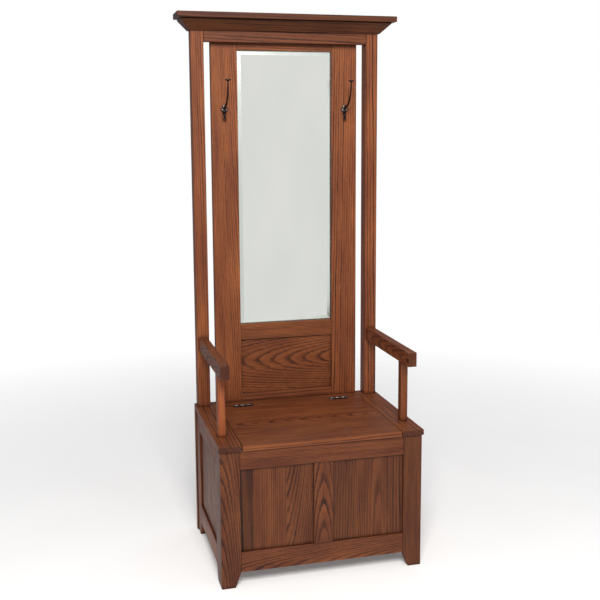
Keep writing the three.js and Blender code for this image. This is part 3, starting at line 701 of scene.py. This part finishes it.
def coat_hook(side):
    """A double hook: plate, two ears for the screws, a long upper prong and a short lower one."""
    node = f"{side}_coat_hook"
    low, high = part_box(node)
    screws = [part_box(f"{side}_hook_screw_{ear}") for ear in ("left", "right")]
    centres = [(a + b) / 2 for a, b in screws]
    x = (centres[0].x + centres[1].x) / 2
    z = centres[0].z
    wall = high.y
    face = wall - HOOK_PLATE
    solid = bmesh.new()

    # Plate: an upright leaf with a raised middle, drawn out to a point at the bottom
    outline = HALF_LEAF + [(-u, w) for u, w in reversed(HALF_LEAF[1:-1])]
    rings = []
    for y, scale in ((wall, 1.0), (wall - PLATE_EDGE, 1.0), (face, RAISED)):
        rings.append([solid.verts.new((x + u * MM * scale, y, z + w * MM * scale)) for u, w in outline])
    skin(solid, rings)

    # Ears: shallow cups that hold the screws
    for centre in centres:
        turned(solid, Vector((centre.x, wall, z)), Vector((0, -1, 0)), in_mm(EAR))

    # Upper prong: a long slender stem with a flared, flat end
    tip = high.z - UPPER_CAP_HEIGHT
    out = face - low.y - UPPER_CAP_RADIUS
    stem = [
        (x, face + 1.5 * MM, z + 4.5 * MM, 3.7 * MM),
        (x, face - 0.21 * out, z + 8.5 * MM, 3.5 * MM),
        (x, face - 0.45 * out, z + 14.5 * MM, 3.3 * MM),
        (x, face - 0.67 * out, z + 25.5 * MM, 3.1 * MM),
        (x, face - 0.85 * out, z + 43.5 * MM, 2.8 * MM),
        (x, face - 0.97 * out, z + 67.5 * MM, 2.4 * MM),
        (x, face - out, tip, 2.3 * MM),
    ]
    heading = tapered_rod(solid, stem)
    turned(solid, Vector(stem[-1][:3]), heading, in_mm(UPPER_FLARE))

    # Lower prong: a short stem that drops close to the wall, with a smaller flared end
    stem = [
        (x, face + 0.5 * MM, z - 9 * MM, 3.4 * MM),
        (x, face - 3.5 * MM, z - 14 * MM, 3.4 * MM),
        (x, face - 5.5 * MM, z - 21 * MM, 3.0 * MM),
        (x, face - 5.5 * MM, low.z + LOWER_CAP_HEIGHT, 2.6 * MM),
    ]
    heading = tapered_rod(solid, stem)
    turned(solid, Vector(stem[-1][:3]), heading, in_mm(LOWER_FLARE))
    finish_metal(node, solid)


SCREW_HEAD = 2 * MM  # height
SCREW_SHANK = 1.7 * MM  # radius
SCREW_POINT = 3 * MM  # length of the shank's point


def hook_screw(node):
    """A round screw head on a plain, pointed shank."""
    low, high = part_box(node)
    centre = (low + high) / 2
    head = (high.x - low.x) / 2
    length = high.y - low.y
    outline = [
        (length, SCREW_SHANK * 0.3),
        (length - SCREW_POINT, SCREW_SHANK),
        (SCREW_HEAD + 0.1 * MM, SCREW_SHANK),
        (SCREW_HEAD, head),
        (0.9 * MM, head * 0.9),
        (0.35 * MM, head * 0.62),
        (0.05 * MM, head * 0.25),
    ]
    solid = bmesh.new()
    turned(solid, Vector((centre.x, low.y, centre.z)), Vector((0, 1, 0)), outline)
    finish_metal(node, solid)


for side in ("left", "right"):
    coat_hook(side)
    for ear in ("left", "right"):
        hook_screw(f"{side}_hook_screw_{ear}")


# ---------------------------------------------------------------- hinges


def metal_from_cad(node):
    """A hinge part with its edges eased and its barrel smooth."""
    solid = cad_solid(node)
    ease_edges(solid, METAL_EASE, 1)
    finish_metal(node, solid)


for side in ("left", "right"):
    for part in ("hinge_fixed_leaf", "hinge_lid_leaf", "hinge_pin"):
        metal_from_cad(f"{side}_{part}")


# ---------------------------------------------------------------- stage

BACKDROP = (1.0, 1.0, 1.0, 1.0)
ROOM = (0.34, 0.34, 0.36, 1.0)
FLOOR_RADIUS = 3.0
FLOOR_SOLID = 0.8  # radius where the floor starts to fade
FLOOR_SIDES = 96
FLOOR_GLOW = 0.12  # lifts the floor towards the backdrop's white


def studio_floor():
    """A pale round floor that fades into the white backdrop at its rim."""
    material, tree, shader = new_material("pale_floor")
    place = object_place(tree)
    soft = noise(tree, place, 3.0, detail=2.0)
    shade = ramp(tree, soft.outputs["Fac"], [(0.3, (0.95, 0.95, 0.94)), (0.7, (0.98, 0.98, 0.97))])
    tree.links.new(shade, shader.inputs["Base Color"])
    shader.inputs["Roughness"].default_value = 0.7
    shader.inputs["Specular IOR Level"].default_value = 0.2
    shader.inputs["Emission Color"].default_value = (1.0, 1.0, 1.0, 1.0)
    shader.inputs["Emission Strength"].default_value = FLOOR_GLOW
    radius = add_node(tree, "ShaderNodeVectorMath", {"operation": "LENGTH"})
    tree.links.new(place, radius.inputs[0])
    fade = span(tree, radius.outputs["Value"], FLOOR_SOLID, FLOOR_RADIUS, 1.0, 0.0)
    tree.links.new(fade, shader.inputs["Alpha"])
    solid = bmesh.new()
    bmesh.ops.create_circle(solid, cap_ends=True, segments=FLOOR_SIDES, radius=FLOOR_RADIUS)
    mesh = bpy.data.meshes.new("floor")
    solid.to_mesh(mesh)
    solid.free()
    mesh.materials.append(material)
    floor = bpy.data.objects.new("floor", mesh)
    bpy.context.scene.collection.objects.link(floor)


def studio_world():
    """A white backdrop to the camera, and a dimmer grey room to everything that it lights."""
    world = bpy.data.worlds.new("studio")
    world.use_nodes = True
    tree = world.node_tree
    background = tree.nodes["Background"]
    seen = add_node(tree, "ShaderNodeLightPath").outputs["Is Camera Ray"]
    tree.links.new(blend_colour(tree, "MIX", seen, ROOM, BACKDROP), background.inputs["Color"])
    bpy.context.scene.world = world


def area_light(name, position, target, size, power, colour):
    """A soft box, out of the camera's sight."""
    lamp = bpy.data.lights.new(name, "AREA")
    lamp.shape = "RECTANGLE"
    lamp.size, lamp.size_y = size
    lamp.energy = power
    lamp.color = colour
    holder = bpy.data.objects.new(name, lamp)
    bpy.context.scene.collection.objects.link(holder)
    holder.location = position
    direction = Vector(target) - Vector(position)
    holder.rotation_euler = direction.to_track_quat("-Z", "Y").to_euler()
    holder.visible_camera = False


studio_floor()
studio_world()
area_light("key", (-0.8, -3.4, 3.3), (0, 0, 0.9), (1.6, 1.6), 205, (1.0, 0.98, 0.95))
area_light("warm_edge", (2.2, -3.4, 1.4), (2.2, 0, 1.4), (0.7, 2.8), 2.6, (1.0, 0.95, 0.94))
area_light("card", (1.1, -3.5, 1.1), (1.1, 0, 1.1), (2.8, 3.8), 19, (1.0, 1.0, 0.97))


# ---------------------------------------------------------------- camera

CAMERA_AT = Vector((-0.7821, -2.9269, 1.3942))
CAMERA_YAW = 0.258  # radians from +Y towards +X
CAMERA_PITCH = -0.1457
CAMERA_ROLL = -0.0054
CAMERA_LENS = 56.2  # millimetres, on a sensor 36 mm wide
CAMERA_SHIFT_Y = -0.05


def studio_camera():
    """The camera, a little left of the front and above the mirror's middle, looking slightly down."""
    yaw, pitch, roll = CAMERA_YAW, CAMERA_PITCH, CAMERA_ROLL
    forward = Vector((math.sin(yaw) * math.cos(pitch), math.cos(yaw) * math.cos(pitch), math.sin(pitch)))
    right = Vector((math.cos(yaw), -math.sin(yaw), 0))
    up = right.cross(forward)
    rolled_right = math.cos(roll) * right + math.sin(roll) * up
    rolled_up = math.cos(roll) * up - math.sin(roll) * right
    data = bpy.data.cameras.new("camera")
    data.lens = CAMERA_LENS
    data.sensor_width = 36
    data.shift_y = CAMERA_SHIFT_Y
    data.clip_end = 100
    camera = bpy.data.objects.new("camera", data)
    bpy.context.scene.collection.objects.link(camera)
    axes = Matrix((rolled_right, rolled_up, -forward)).transposed()
    camera.matrix_world = Matrix.Translation(CAMERA_AT) @ axes.to_4x4()
    bpy.context.scene.camera = camera


studio_camera()
bpy.context.scene.view_settings.view_transform = "Standard"
